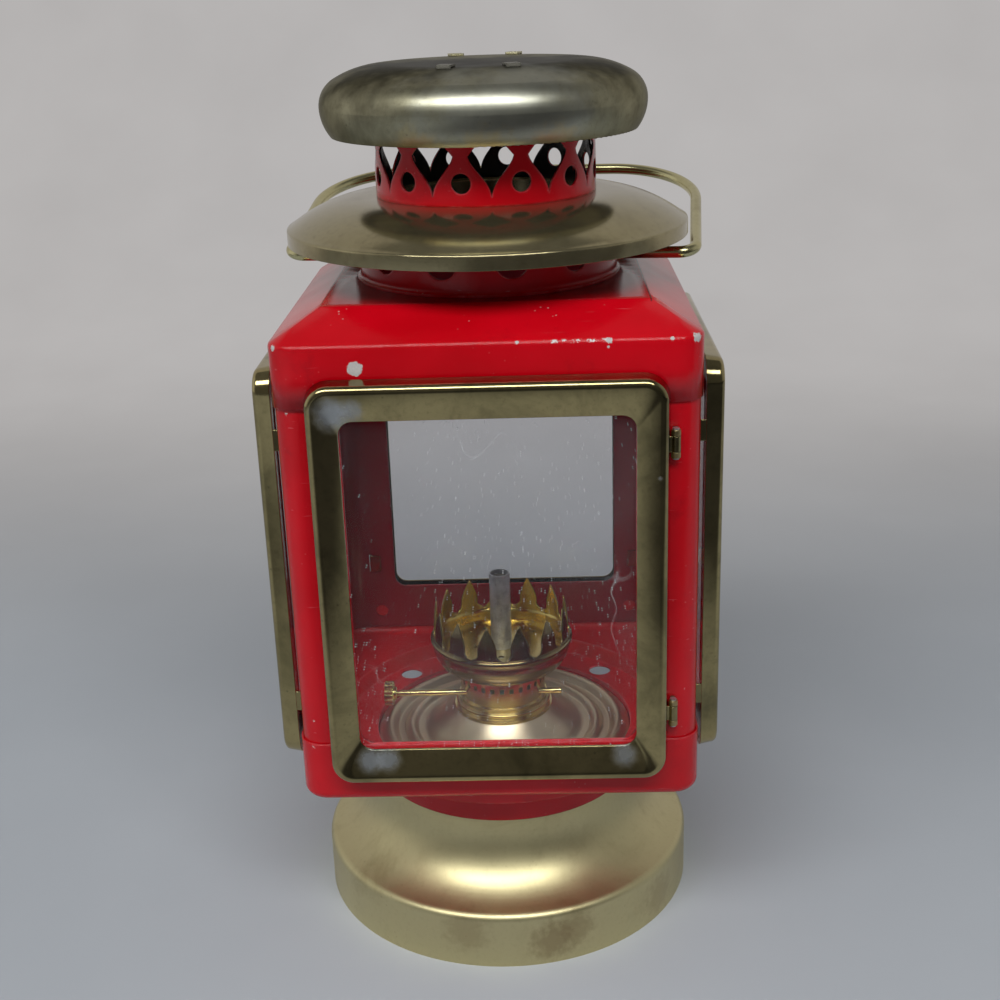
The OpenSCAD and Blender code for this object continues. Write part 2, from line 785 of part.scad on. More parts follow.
module cap() {
    t = brass_t;
    rim_turn = asin(cap_side_h / cap_side_r);
    color(brass) difference() {
        rotate_extrude() {
            arc_band([cap_r - cap_side_r, cap_wide_z], cap_side_r, t, -rim_turn, 0);
            arc_band([cap_r - cap_shoulder_r, cap_wide_z], cap_shoulder_r, t, 0, cap_turn);
            arc_band([cap_flat_r, crown_mid_z], cap_crown_r, t, cap_turn, 90);
            translate([0, cap_top_z - t]) square([cap_flat_r, t]);
        }
        for (turn = tab_turns) {
            rotate(turn) translate([gallery_r - sheet - slot_gap, -tab_w / 2 - slot_gap, cap_wide_z])
                cube([sheet + 2 * slot_gap, tab_w + 2 * slot_gap, cap_d]);
        }
    }
}

// The pressed brass of one frame, without its tongues: a flared skirt, a ridge and a face that falls inward
module frame_shell() {
    t = frame_t;
    hw = frame_w / 2;
    hh = frame_h / 2;
    ridge_in = frame_r - frame_flare - ridge_w;
    slope_end = ridge_in - (slope_w - ridge_w);
    difference() {
        union() {
            sweep_round(hw, hh, frame_r) polygon([
                [frame_r, 0], [frame_r - frame_flare, frame_depth - crest_drop],
                [frame_r - frame_flare - crest_in, frame_depth - crest_low], [ridge_in, frame_depth],
                [ridge_in - fall_in, frame_depth - fall_drop], [slope_end, ledge_out], [0, ledge_out],
                [0, ledge_out - t], [slope_end - slope_back, ledge_out - t],
                [ridge_in - crest_in, frame_depth - fall_drop - t],
                [ridge_in, frame_depth - t], [frame_r - frame_flare - t, frame_depth - crest_drop - t / 2],
                [frame_r - t, 0]
            ]);
            translate([0, 0, ledge_out - t]) linear_extrude(t)
                square([2 * (hw - frame_r) + 2 * eps, 2 * (hh - frame_r) + 2 * eps], center = true);
        }
        translate([0, 0, -cut]) linear_extrude(frame_depth + 2 * cut)
            rounded_square(window_w / 2, window_h / 2, window_r);
    }
    for (sx = [-1, 1]) {
        for (sy = [-1, 1]) {
            translate([sx * window_w / 4 - clip_w / 2, sy > 0 ? hh - clip_l - t / 2 : -hh + t / 2, -clip_t])
                cube([clip_w, clip_l, clip_t + glass_back - lap_gap]);
            translate([sx * window_w / 4 - clip_w / 2, sy > 0 ? hh - t : -hh, -clip_t])
                cube([clip_w, t, 2 * clip_t]);
        }
    }
}

// A tongue from the edge of a frame, through the sleeve; bend is how far it is folded flat inside
module tongue(sx, sy, reach, bend) {
    translate([sx * tongue_x - frame_t / 2, sy * tongue_z - tongue_h / 2, -reach])
        cube([frame_t, tongue_h, reach + tongue_root]);
    if (bend > 0) {
        translate([sx > 0 ? tongue_x - bend : -tongue_x, sy * tongue_z - tongue_h / 2, -reach])
            cube([bend, tongue_h, frame_t]);
    }
}

module fixed_frame(side) {
    color(brass) on_side(side) {
        frame_shell();
        for (sx = [-1, 1]) {
            for (sy = [-1, 1]) tongue(sx, sy, frame_stand + sheet + lap_gap + frame_t, tongue_bend);
        }
    }
}

module pane(side) {
    hw = frame_w / 2 - frame_t - frame_flare - glass_gap;
    hh = frame_h / 2 - frame_t - frame_flare - glass_gap;
    color(clear, 0.3) on_side(side) translate([0, 0, glass_back]) linear_extrude(glass_t)
        rounded_square(hw, hh, frame_r - frame_t - frame_flare);
}

module left_frame() {
    fixed_frame(3);
}

module right_frame() {
    fixed_frame(1);
}

module back_frame() {
    fixed_frame(2);
}

module left_glass() {
    pane(3);
}

module right_glass() {
    pane(1);
}

module back_glass() {
    pane(2);
}

module door_frame() {
    color(brass) on_side(0) difference() {
        union() {
            frame_shell();
            for (sy = [-1, 1]) {
                tongue(-1, sy, frame_stand + sheet + catch_l, 0);
                translate([pin_x, sy * tongue_z, pin_out]) rotate([90, 0, 0])
                    cylinder(d = knuckle_d, h = knuckle_l, center = true);
                translate([tongue_x - frame_t / 2, sy * tongue_z - knuckle_l / 2, max(pin_out, 0)])
                    cube([pin_x - tongue_x + frame_t / 2, knuckle_l, frame_t]);
            }
        }
        for (sy = [-1, 1]) {
            translate([pin_x, sy * tongue_z, pin_out]) rotate([90, 0, 0])
                cylinder(d = pin_d + 2 * run_gap, h = 2 * knuckle_l, center = true);
        }
    }
}

module door_glass() {
    pane(0);
}

module hinge_brackets() {
    wall_out = -frame_stand;
    wall_in = wall_out - sheet - lap_gap;
    color(brass) on_side(0) for (sy = [-1, 1]) {
        translate([0, sy * tongue_z, 0]) difference() {
            union() {
                for (s = [-1, 1]) {
                    translate([pin_x, s * (knuckle_l / 2 + ear_gap + ear_l / 2), pin_out]) rotate([90, 0, 0])
                        cylinder(d = knuckle_d, h = ear_l, center = true);
                    translate([pin_x - web_t / 2, s * (knuckle_l / 2 + ear_gap + ear_l / 2) - ear_l / 2,
                        wall_out])
                        cube([web_t, ear_l, pin_out - wall_out]);
                }
                translate([pin_x - web_t / 2, -hinge_h / 2, wall_in - frame_t])
                    cube([web_t, hinge_h, wall_out + web_root - wall_in + frame_t]);
                translate([pin_x + web_t / 2 - pad_w, -hinge_h / 2, wall_in - frame_t])
                    cube([pad_w, hinge_h, frame_t]);
            }
            translate([pin_x, 0, pin_out]) rotate([90, 0, 0])
                cylinder(d = pin_d + 2 * pin_gap, h = 2 * hinge_h, center = true);
        }
    }
}

module hinge_pins() {
    color(steel) on_side(0) for (sy = [-1, 1]) {
        translate([pin_x, sy * tongue_z, pin_out]) rotate([90, 0, 0]) {
            cylinder(d = pin_d, h = hinge_h, center = true);
            for (s = [-1, 1]) {
                translate([0, 0, s * (hinge_h + pin_head_t) / 2])
                    cylinder(d = pin_head_d, h = pin_head_t, center = true);
            }
        }
    }
}

// The wire of the bail, lying in the XY plane with its pivot along X
module bail_wire() {
    r = wire_d / 2;
    c = bail_corner_r;
    pin_in = flue_r - sheet - wire_in;
    for (s = [-1, 1]) {
        translate([s * pin_in, 0, 0]) rotate([0, s * 90, 0]) cylinder(r = r, h = elbow_x - pin_in);
        translate([s * elbow_x, elbow_r, 0]) rotate(s > 0 ? -90 : 180) rotate_extrude(angle = 90)
            translate([elbow_r, 0]) circle(r);
        translate([s * bail_w / 2, elbow_r, 0]) rotate([-90, 0, 0]) cylinder(r = r, h = bail_l - c - elbow_r);
        translate([s * grip_half, bail_l - c, 0]) rotate(s > 0 ? 0 : 90) rotate_extrude(angle = 90)
            translate([c, 0]) circle(r);
    }
    translate([-grip_half, bail_l, 0]) rotate([0, 90, 0]) cylinder(r = r, h = 2 * grip_half);
}

module bail() {
    color(brass) rotate(bail_turn) translate([0, 0, pivot_z]) rotate([bail_lean, 0, 0]) bail_wire();
}

base_skirt();
base_plate();
tank_drum();
tank_lid();
burner_collar();
burner_body();
burner_crown();
air_plate();
wick_tube();
wick();
raiser_shaft();
raiser_wheel();
raiser_knob();
neck_collar();
floor_tray();
wall_sleeve();
hood();
flue_collar();
brim();
vent_gallery();
cap();
left_frame();
right_frame();
back_frame();
left_glass();
right_glass();
back_glass();
door_frame();
door_glass();
hinge_brackets();
hinge_pins();
bail();
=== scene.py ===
import math

import bpy
import bmesh
from mathutils import Matrix, Vector


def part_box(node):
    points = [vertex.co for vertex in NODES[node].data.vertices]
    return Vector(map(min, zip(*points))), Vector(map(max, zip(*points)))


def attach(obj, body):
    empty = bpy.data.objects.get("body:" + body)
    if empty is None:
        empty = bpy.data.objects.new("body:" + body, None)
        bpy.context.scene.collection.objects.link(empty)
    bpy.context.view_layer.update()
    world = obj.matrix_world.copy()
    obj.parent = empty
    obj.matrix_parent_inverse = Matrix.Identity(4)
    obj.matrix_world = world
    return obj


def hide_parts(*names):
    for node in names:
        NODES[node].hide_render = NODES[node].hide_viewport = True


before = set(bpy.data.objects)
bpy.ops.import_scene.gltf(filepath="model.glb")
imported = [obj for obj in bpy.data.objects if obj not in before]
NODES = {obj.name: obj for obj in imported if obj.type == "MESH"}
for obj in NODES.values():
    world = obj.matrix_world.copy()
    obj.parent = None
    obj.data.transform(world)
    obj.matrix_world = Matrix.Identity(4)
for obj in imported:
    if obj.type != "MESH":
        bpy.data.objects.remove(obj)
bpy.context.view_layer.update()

MM = 0.001


class Mat:
    """A procedural material round one Principled shader, in metres of the part's frame."""

    def __init__(self, name):
        self.mat = bpy.data.materials.new(name)
        self.mat.use_nodes = True
        self.nt = self.mat.node_tree
        self.nt.nodes.clear()
        self.out = self.new("ShaderNodeOutputMaterial")
        self.bsdf = self.new("ShaderNodeBsdfPrincipled")
        self.link(self.bsdf.outputs["BSDF"], self.out.inputs["Surface"])
        self.coord = self.new("ShaderNodeTexCoord").outputs["Object"]

    def new(self, kind):
        return self.nt.nodes.new(kind)

    def link(self, a, b):
        self.nt.links.new(a, b)

    def put(self, socket, value):
        if isinstance(value, bpy.types.NodeSocket):
            self.link(value, socket)
        else:
            socket.default_value = value

    def set(self, name, value):
        self.put(self.bsdf.inputs[name], value)

    def stretch(self, scale, turn=(0, 0, 0)):
        n = self.new("ShaderNodeMapping")
        self.link(self.coord, n.inputs["Vector"])
        n.inputs["Scale"].default_value = scale
        n.inputs["Rotation"].default_value = turn
        return n.outputs["Vector"]

    def noise(self, scale, detail=4.0, rough=0.55, vector=None, distort=0.0):
        n = self.new("ShaderNodeTexNoise")
        self.link(vector or self.coord, n.inputs["Vector"])
        n.inputs["Scale"].default_value = scale
        n.inputs["Detail"].default_value = detail
        n.inputs["Roughness"].default_value = rough
        n.inputs["Distortion"].default_value = distort
        return n.outputs["Fac"]

    def cells(self, scale, vector=None):
        n = self.new("ShaderNodeTexVoronoi")
        self.link(vector or self.coord, n.inputs["Vector"])
        n.inputs["Scale"].default_value = scale
        return n.outputs["Distance"]

    def math(self, op, a, b=0.0, clamp=False):
        n = self.new("ShaderNodeMath")
        n.operation = op
        n.use_clamp = clamp
        self.put(n.inputs[0], a)
        self.put(n.inputs[1], b)
        return n.outputs[0]

    def times(self, a, b):
        return self.math("MULTIPLY", a, b)

    def ramp(self, fac, low, high):
        """0 below low, 1 above high, smooth between."""
        n = self.new("ShaderNodeMapRange")
        n.interpolation_type = "SMOOTHSTEP"
        self.put(n.inputs["Value"], fac)
        n.inputs["From Min"].default_value = low
        n.inputs["From Max"].default_value = high
        return n.outputs["Result"]

    def span(self, fac, low, high):
        """A 0 to 1 value carried to low to high."""
        n = self.new("ShaderNodeMapRange")
        self.put(n.inputs["Value"], fac)
        n.inputs["To Min"].default_value = low
        n.inputs["To Max"].default_value = high
        return n.outputs["Result"]

    def mix(self, fac, a, b):
        n = self.new("ShaderNodeMix")
        n.data_type = "RGBA"
        self.put(n.inputs[0], fac)
        for socket, c in ((n.inputs[6], a), (n.inputs[7], b)):
            self.put(socket, c if isinstance(c, bpy.types.NodeSocket) else (*c, 1.0))
        return n.outputs[2]

    def vector_math(self, op, a, b):
        n = self.new("ShaderNodeVectorMath")
        n.operation = op
        self.put(n.inputs[0], a)
        self.put(n.inputs[1], b)
        return n.outputs["Value"] if op in ("DOT_PRODUCT", "DISTANCE") else n.outputs["Vector"]

    def axis(self, which, source=None):
        n = self.new("ShaderNodeSeparateXYZ")
        self.link(source or self.coord, n.inputs[0])
        return n.outputs[which]

    def normal(self):
        return self.new("ShaderNodeNewGeometry").outputs["Normal"]

    def round_normal(self, radius):
        """The surface normal with its sharp edges eased over this radius."""
        n = self.new("ShaderNodeBevel")
        n.samples = 4
        n.inputs["Radius"].default_value = radius
        return n.outputs["Normal"]

    def edge(self, radius):
        """Near 1 on sharp outside and inside edges, 0 on plain faces."""
        bend = self.vector_math("DOT_PRODUCT", self.round_normal(radius), self.normal())
        return self.ramp(self.math("SUBTRACT", 1.0, bend), 0.01, 0.16)

    def bump(self, height, strength, distance, normal=None):
        n = self.new("ShaderNodeBump")
        n.inputs["Strength"].default_value = strength
        n.inputs["Distance"].default_value = distance
        self.link(height, n.inputs["Height"])
        if normal:
            self.link(normal, n.inputs["Normal"])
        self.set("Normal", n.outputs["Normal"])

    def spot(self, p, r, ragged, soft=0.08):
        """1 inside a ragged round patch of radius r mm at point p mm."""
        r = r * MM
        away = self.vector_math("DISTANCE", self.coord, tuple(c * MM for c in p))
        wob = self.span(self.noise(2.2 / r, 3.0), -ragged * r, ragged * r)
        return self.ramp(self.math("ADD", away, wob), r * (1 + soft), r * (1 - soft))

    def line(self, which, place, half):
        """1 on a thin band across one axis, in mm."""
        off = self.math("ABSOLUTE", self.math("SUBTRACT", self.axis(which), place * MM))
        return self.ramp(off, half * MM, half * 0.4 * MM)

    def inward(self):
        """1 on faces that look towards the upright axis."""
        n, p = self.normal(), self.coord
        turn = self.math("ADD", self.times(self.axis("X", n), self.axis("X", p)),
                         self.times(self.axis("Y", n), self.axis("Y", p)))
        return self.ramp(turn, -1.0 * MM, -4.0 * MM)

    def let_lamps_through(self, tint):
        """Rays from lamps pass straight through, so what is behind the glass is lit."""
        path = self.new("ShaderNodeLightPath")
        clear = self.new("ShaderNodeBsdfTransparent")
        clear.inputs["Color"].default_value = (*tint, 1.0)
        either = self.new("ShaderNodeMixShader")
        self.link(path.outputs["Is Shadow Ray"], either.inputs[0])
        self.link(self.bsdf.outputs["BSDF"], either.inputs[1])
        self.link(clear.outputs["BSDF"], either.inputs[2])
        self.link(either.outputs["Shader"], self.out.inputs["Surface"])

    def glow_when_seen(self, where, colour):
        """The surface shows this colour by itself to the camera, to mirrors and through glass."""
        path = self.new("ShaderNodeLightPath")
        seen = self.math("ADD", path.outputs["Is Camera Ray"], path.outputs["Is Glossy Ray"], clamp=True)
        seen = self.math("ADD", seen, path.outputs["Is Transmission Ray"], clamp=True)
        glow = self.new("ShaderNodeEmission")
        self.link(colour, glow.inputs["Color"])
        either = self.new("ShaderNodeMixShader")
        self.link(self.times(seen, where), either.inputs[0])
        self.link(self.bsdf.outputs["BSDF"], either.inputs[1])
        self.link(glow.outputs["Emission"], either.inputs[2])
        self.link(either.outputs["Shader"], self.out.inputs["Surface"])


RED_DEEP = (0.50, 0.0010, 0.006)
RED_LIT = (0.60, 0.0016, 0.009)
RED_GRIME = (0.10, 0.003, 0.006)
RED_INSIDE_PAINTED_SHADE = (0.26, 0.0022, 0.012)
RED_WEAR_AND_SHEEN = (0.62, 0.15, 0.17)
DUST = (0.60, 0.42, 0.40)
PRIMER_DARK = (0.42, 0.40, 0.38)
PRIMER_LIGHT = (0.66, 0.63, 0.61)
INWARD_BLACK = (0.012, 0.009, 0.009)
TAB_DULL = (0.50, 0.46, 0.30)
TAB_BRIGHT = (0.70, 0.66, 0.46)
TAB_FRONT_PAINTED_DARK = (0.13, 0.122, 0.098)

# chips of more than BIG_CHIP mm are round, smaller ones ragged: how far the edge wanders, by the radius
BIG_CHIP, ROUND, RAGGED = 1.8, 0.35, 0.95
# in mm: half the width of a crease, and how softly a mark starts at its height
CREASE_HALF, HEIGHT_FADE = 0.3, 0.2


def red_enamel(name, chips=(), creases=(), black_inward=False, tabs_from=None, paint_inside_shade=False, rubbed=None):
    """Old red paint on sheet, with places in mm. chips are bare spots (place, radius) and creases dark folds
    (axis, place, lowest height, strength). black_inward turns the faces that look inward near black, and
    paint_inside_shade gives them painted shade. Above the height tabs_from lie tabs of bare metal, those in
    front painted dark like the cap's painted dark reflection. rubbed is a line along the front where the
    paint is rubbed through: its ends in x, and its height."""
    m = Mat(name)
    colour = m.mix(m.ramp(m.noise(26.0, 3.0), 0.35, 0.68), RED_DEEP, RED_LIT)
    grime = m.ramp(m.noise(60.0, 6.0, 0.7), 0.56, 0.80)
    colour = m.mix(m.times(grime, 0.35), colour, RED_GRIME)
    top = m.ramp(m.axis("Z", m.normal()), 0.2, 0.8)
    speck = m.times(m.ramp(m.cells(430.0), 0.15, 0.06), m.ramp(m.noise(40.0, 2.0), 0.52, 0.64))
    colour = m.mix(m.times(speck, m.span(top, 0.12, 0.55)), colour, DUST)
    scratch = m.noise(1.0, 2.0, 0.5, m.stretch((60.0, 900.0, 900.0), (0.3, 0.5, 0.2)))
    colour = m.mix(m.times(m.ramp(scratch, 0.71, 0.77), 0.30), colour, RED_WEAR_AND_SHEEN)
    # pale pink along sharp edges: partly paint worn through, partly a painted highlight on the edges
    edge_wear_and_sheen = m.times(m.edge(0.8 * MM), m.ramp(m.noise(160.0, 5.0, 0.65), 0.40, 0.64))
    colour = m.mix(m.times(edge_wear_and_sheen, 0.7), colour, RED_WEAR_AND_SHEEN)
    rough = m.span(m.noise(90.0, 5.0, 0.6), 0.12, 0.24)
    for axis, place, low, depth in creases:
        fold = m.times(m.line(axis, place, CREASE_HALF),
                       m.ramp(m.axis("Z"), (low - HEIGHT_FADE) * MM, low * MM))
        colour = m.mix(m.times(fold, depth), colour, RED_GRIME)
    for p, r in chips:
        bare = m.spot(p, r, ROUND if r > BIG_CHIP else RAGGED)
        colour = m.mix(bare, colour, m.mix(m.noise(1500.0, 3.0), PRIMER_DARK, PRIMER_LIGHT))
        rough = m.math("MAXIMUM", rough, m.times(bare, 0.6))
    if rubbed:
        start, end, height = rubbed
        end_fade, half = 2.0, 0.6
        along = m.times(m.ramp(m.axis("X"), start * MM, (start + end_fade) * MM),
                        m.ramp(m.axis("X"), end * MM, (end - end_fade) * MM))
        along = m.times(along, m.ramp(m.axis("Y"), -50.0 * MM, -52.0 * MM))
        rub = m.times(m.line("Z", height, half), along)
        rub = m.times(rub, m.ramp(m.noise(520.0, 4.0, 0.7), 0.50, 0.56))
        colour = m.mix(rub, colour, PRIMER_LIGHT)
    # faces that look inward turn near black
    if black_inward:
        colour = m.mix(m.inward(), colour, INWARD_BLACK)
    # faces that look inward turn darker red: painted shade inside the sleeve
    if paint_inside_shade:
        colour = m.mix(m.inward(), colour, RED_INSIDE_PAINTED_SHADE)
    if tabs_from:
        tab = m.ramp(m.axis("Z"), (tabs_from - HEIGHT_FADE) * MM, tabs_from * MM)
        shown = m.ramp(m.axis("Y"), -5.0 * MM, 5.0 * MM)
        metal = m.mix(m.noise(900.0, 3.0), TAB_DULL, TAB_BRIGHT)
        # tabs in front painted dark like the cap's painted dark reflection, so they do not show; tabs at the
        # back stay bare metal
        colour = m.mix(tab, colour, m.mix(shown, TAB_FRONT_PAINTED_DARK, metal))
        rough = m.math("MAXIMUM", rough, m.times(tab, 0.5))
        m.set("Metallic", m.times(tab, shown))
    m.set("Base Color", colour)
    m.set("Roughness", rough)
    m.set("Specular IOR Level", 0.4)
    height = m.math("ADD", m.noise(700.0, 2.0, 0.5), m.times(m.noise(45.0, 2.0), 1.2))
    m.bump(height, 0.05, 0.4 * MM, m.round_normal(1.0 * MM))
    return m.mat


def old_brass(name, bright, dull, stain, amount, rough, speckle, ring=None, patches=(), grain=1.0,
              metal=1.0, lining=None, grazing=1.0, matte=0.0, ragged=0.9):
    """bright and dull are the clean and tarnished metal, stain the dark marks, amount how far they spread,
    rough the lowest and highest roughness, speckle the strength of the fine spots. ring is the density of
    turning marks round the axis, grain the depth of the bump. patches are single marks: place, radius,
    strength, colour; matte is how far they lose their metal, ragged how uneven their edge is. lining is the
    colour of faces that look inward, grazing the strength of reflections at flat angles."""
    m = Mat(name)
    cloud = m.noise(38.0, 6.0, 0.62, distort=0.6)
    colour = m.mix(m.ramp(cloud, 0.62 - amount * 0.35, 0.86 - amount * 0.3), bright, dull)
    fine = m.ramp(m.noise(620.0, 4.0, 0.7), 0.48, 0.72)
    colour = m.mix(m.times(fine, speckle), colour, dull)
    freckle = m.times(m.ramp(m.cells(420.0), 0.20, 0.08), m.ramp(m.noise(70.0, 3.0), 0.48, 0.66))
    colour = m.mix(m.times(freckle, speckle), colour, stain)
    cloudy = m.noise(55.0, 6.0, 0.65, m.stretch((1.0, 1.0, 0.7), (0.4, 0.2, 0.9)))
    stains = m.times(m.ramp(cloudy, 0.54, 0.80), amount)
    colour = m.mix(stains, colour, stain)
    metallic = metal
    for p, r, depth, tone in patches:
        mark = m.times(m.spot(p, r, ragged, 0.55), depth)
        colour = m.mix(mark, colour, tone)
        if matte:
            metallic = m.times(metallic, m.math("SUBTRACT", 1.0, m.times(mark, matte)))
    if lining:
        colour = m.mix(m.inward(), colour, lining)
    gloss = m.span(m.noise(120.0, 5.0, 0.65), *rough)
    m.set("Base Color", colour)
    m.set("Metallic", metallic)
    m.set("Specular Tint", (grazing, grazing, grazing, 1.0))
    m.set("Roughness", m.math("ADD", gloss, m.times(stains, 0.12)))
    height = m.times(m.noise(160.0, 4.0), 0.8)
    if ring:
        x, y = m.axis("X"), m.axis("Y")
        radius = m.math("SQRT", m.math("ADD", m.times(x, x), m.times(y, y)))
        turned = m.new("ShaderNodeCombineXYZ")
        m.link(m.times(radius, ring), turned.inputs["X"])
        m.link(m.times(m.axis("Z"), ring), turned.inputs["Y"])
        height = m.math("ADD", height, m.times(m.noise(1.0, 3.0, 0.7, turned.outputs["Vector"]), 0.7))
    m.bump(height, 0.05 * grain, 0.35 * MM, m.round_normal(0.3 * MM))
    return m.mat


CLEAR_GLASS = (0.87, 0.88, 0.90)
SPECK_GREY = (0.46, 0.45, 0.46)
LAMP_TINT = (0.90, 0.90, 0.91)
PANE_IOR = 1.25


def dusty_glass(name, flat, haze, dust, hairs):
    """A pane with a thin film, and specks of dust and a few hairs on its outer face. flat drops the axis
    across the pane; haze, dust and hairs are how far these veil it."""
    m = Mat(name)
    face = m.stretch(flat)
    big = m.times(m.ramp(m.cells(300.0, face), 0.085, 0.045), m.ramp(m.noise(34.0, 3.0), 0.40, 0.56))
    small = m.times(m.ramp(m.cells(720.0, face), 0.13, 0.07), m.ramp(m.noise(26.0, 4.0), 0.34, 0.52))
    specks = m.math("ADD", big, m.times(small, 0.75), clamp=True)
    thread = m.math("ABSOLUTE", m.math("SUBTRACT", m.noise(30.0, 2.0, 0.5, face), 0.5))
    thread = m.times(m.ramp(thread, 0.0020, 0.0008), m.ramp(m.noise(21.0, 1.0, 0.5, face), 0.60, 0.66))
    specks = m.math("ADD", specks, m.times(thread, hairs), clamp=True)
    specks = m.times(specks, m.math("SUBTRACT", 1.0, m.inward()))
    film = m.ramp(m.noise(22.0, 5.0, 0.6), 0.40, 0.80)
    veil = m.math("ADD", m.span(film, haze * 0.4, haze * 1.6), m.times(specks, dust), clamp=True)
    m.set("Base Color", m.mix(specks, CLEAR_GLASS, SPECK_GREY))
    m.set("Transmission Weight", m.math("SUBTRACT", 1.0, veil))
    m.set("Roughness", m.times(specks, 0.4))
    m.set("IOR", PANE_IOR)
    m.let_lamps_through(LAMP_TINT)
    return m.mat


def grey_steel(name):
    """Dull tinned steel with fine upright streaks."""
    light, dark, streaked = (0.58, 0.60, 0.62), (0.36, 0.37, 0.39), (0.70, 0.71, 0.72)
    m = Mat(name)
    colour = m.mix(m.ramp(m.noise(300.0, 5.0, 0.65), 0.35, 0.70), light, dark)
    streak = m.ramp(m.noise(1.0, 3.0, 0.6, m.stretch((900.0, 900.0, 60.0))), 0.52, 0.70)
    m.set("Base Color", m.mix(m.times(streak, 0.4), colour, streaked))
    m.set("Metallic", 0.85)
    m.set("Roughness", m.span(m.noise(200.0, 4.0), 0.32, 0.50))
    m.bump(m.noise(600.0, 4.0), 0.12, 0.2 * MM)
    return m.mat


def cotton(name):
    """Twisted wick, charred at its tip between two heights in mm."""
    shade, light, charred = (0.50, 0.44, 0.33), (0.74, 0.68, 0.55), (0.06, 0.05, 0.045)
    char_from, char_to = 101.5, 103.8
    m = Mat(name)
    twist = m.noise(1.0, 2.0, 0.5, m.stretch((1600.0, 1600.0, 500.0), (0.0, 0.5, 0.0)))
    char = m.ramp(m.axis("Z"), char_from * MM, char_to * MM)
    colour = m.mix(m.ramp(twist, 0.35, 0.65), shade, light)
    m.set("Base Color", m.mix(m.times(char, 0.85), colour, charred))
    m.set("Roughness", 0.9)
    m.bump(twist, 0.5, 0.3 * MM)
    return m.mat


# bare spots in the paint: place in mm, radius in mm
HOOD_CHIPS = [((-34.2, -57.9, 188.2), 2.0), ((-55.4, -55.0, 176.9), 0.7), ((8.5, -57.8, 194.2), 0.5),
              ((32.4, -57.8, 194.2), 0.85), ((32.2, -57.9, 192.4), 0.35), ((48.8, -57.8, 194.2), 0.6),
              ((55.7, -55.9, 193.9), 1.4), ((-55.9, -55.7, 193.8), 0.8)]
SLEEVE_CHIPS = [((-53.8, -57.25, 176.0), 0.8), ((53.6, -57.25, 92.0), 0.6), ((-53.2, -57.25, 84.0), 0.6)]
TRAY_CHIPS = [((-54.0, -57.9, 75.8), 0.8), ((47.0, -57.9, 76.4), 0.5)]
# folds where the roof's flat meets its right and left slopes: axis, place, lowest height, strength
ROOF_CREASES = [("X", 44.3, 201.5, 0.9), ("X", -44.3, 201.5, 0.3)]

SILVERED = (0.36, 0.39, 0.43)
BROWNED = (0.26, 0.17, 0.08)
# painted dark reflection on the cap's top
CAP_TOP_PAINTED_DARK = (0.045, 0.042, 0.030)
# a silvery mark on the cap's front whose brightness is also a painted highlight, spreading the key's
# reflection downward
SILVERY_AND_PAINTED_HIGHLIGHT = (0.47, 0.48, 0.43)
# painted gold reflection along the cap's lower edge
CAP_RIM_PAINTED_REFLECTION = (0.62, 0.45, 0.16)

# single marks on the brass: place in mm, radius in mm, strength, colour
# on the cap: the two dark marks on top are a painted dark reflection, the silvery mark below the highlight is
# also a painted highlight, and the gold marks along the lower edge are a painted reflection
CAP_MARKS = [((-15.0, -12.0, 262.0), 23.0, 0.85, CAP_TOP_PAINTED_DARK), ((14.0, -12.0, 262.0), 24.0, 0.85, CAP_TOP_PAINTED_DARK),
             ((8.0, -45.0, 248.0), 20.0, 0.55, SILVERY_AND_PAINTED_HIGHLIGHT),
             ((-16.0, -41.5, 240.8), 6.0, 0.35, CAP_RIM_PAINTED_REFLECTION), ((2.0, -44.0, 240.8), 6.0, 0.4, CAP_RIM_PAINTED_REFLECTION),
             ((20.0, -39.5, 240.8), 6.5, 0.4, CAP_RIM_PAINTED_REFLECTION)]
FOOT_MARKS = [((14.0, -57.5, 8.0), 6.0, 0.5, BROWNED), ((22.0, -55.0, 11.0), 5.0, 0.4, BROWNED),
              ((-12.0, -58.2, 12.0), 6.0, 0.3, BROWNED), ((48.0, -34.0, 8.0), 6.0, 0.3, BROWNED)]
DOOR_MARKS = [((-41.0, -62.0, 177.5), 4.2, 0.8, SILVERED), ((-35.5, -62.0, 178.5), 3.0, 0.6, SILVERED),
              ((-36.5, -62.0, 74.0), 3.4, 0.8, SILVERED), ((-31.5, -62.0, 74.0), 3.2, 0.8, SILVERED),
              ((36.0, -62.0, 74.5), 3.2, 0.7, SILVERED), ((45.5, -63.5, 158.0), 0.7, 1.0, SILVERED)]
# the brass of all four frames: bright, dull, stain, amount, roughness, speckle. These colours are darker than
# the other brass: painted shade for the dark surroundings the frames mirror
FRAME_LOOK = ((0.40, 0.33, 0.16), (0.22, 0.185, 0.09), (0.055, 0.055, 0.038), 0.60, (0.07, 0.17), 0.45)

red_hood = red_enamel("red_enamel_hood", HOOD_CHIPS, ROOF_CREASES, rubbed=(15.0, 33.0, 194.1))
red_wall = red_enamel("red_enamel_wall", SLEEVE_CHIPS, paint_inside_shade=True)
red_tray = red_enamel("red_enamel_tray", TRAY_CHIPS)
red_flue = red_enamel("red_enamel_flue", black_inward=True)
red_gallery = red_enamel("red_enamel_gallery", black_inward=True, tabs_from=260.4)

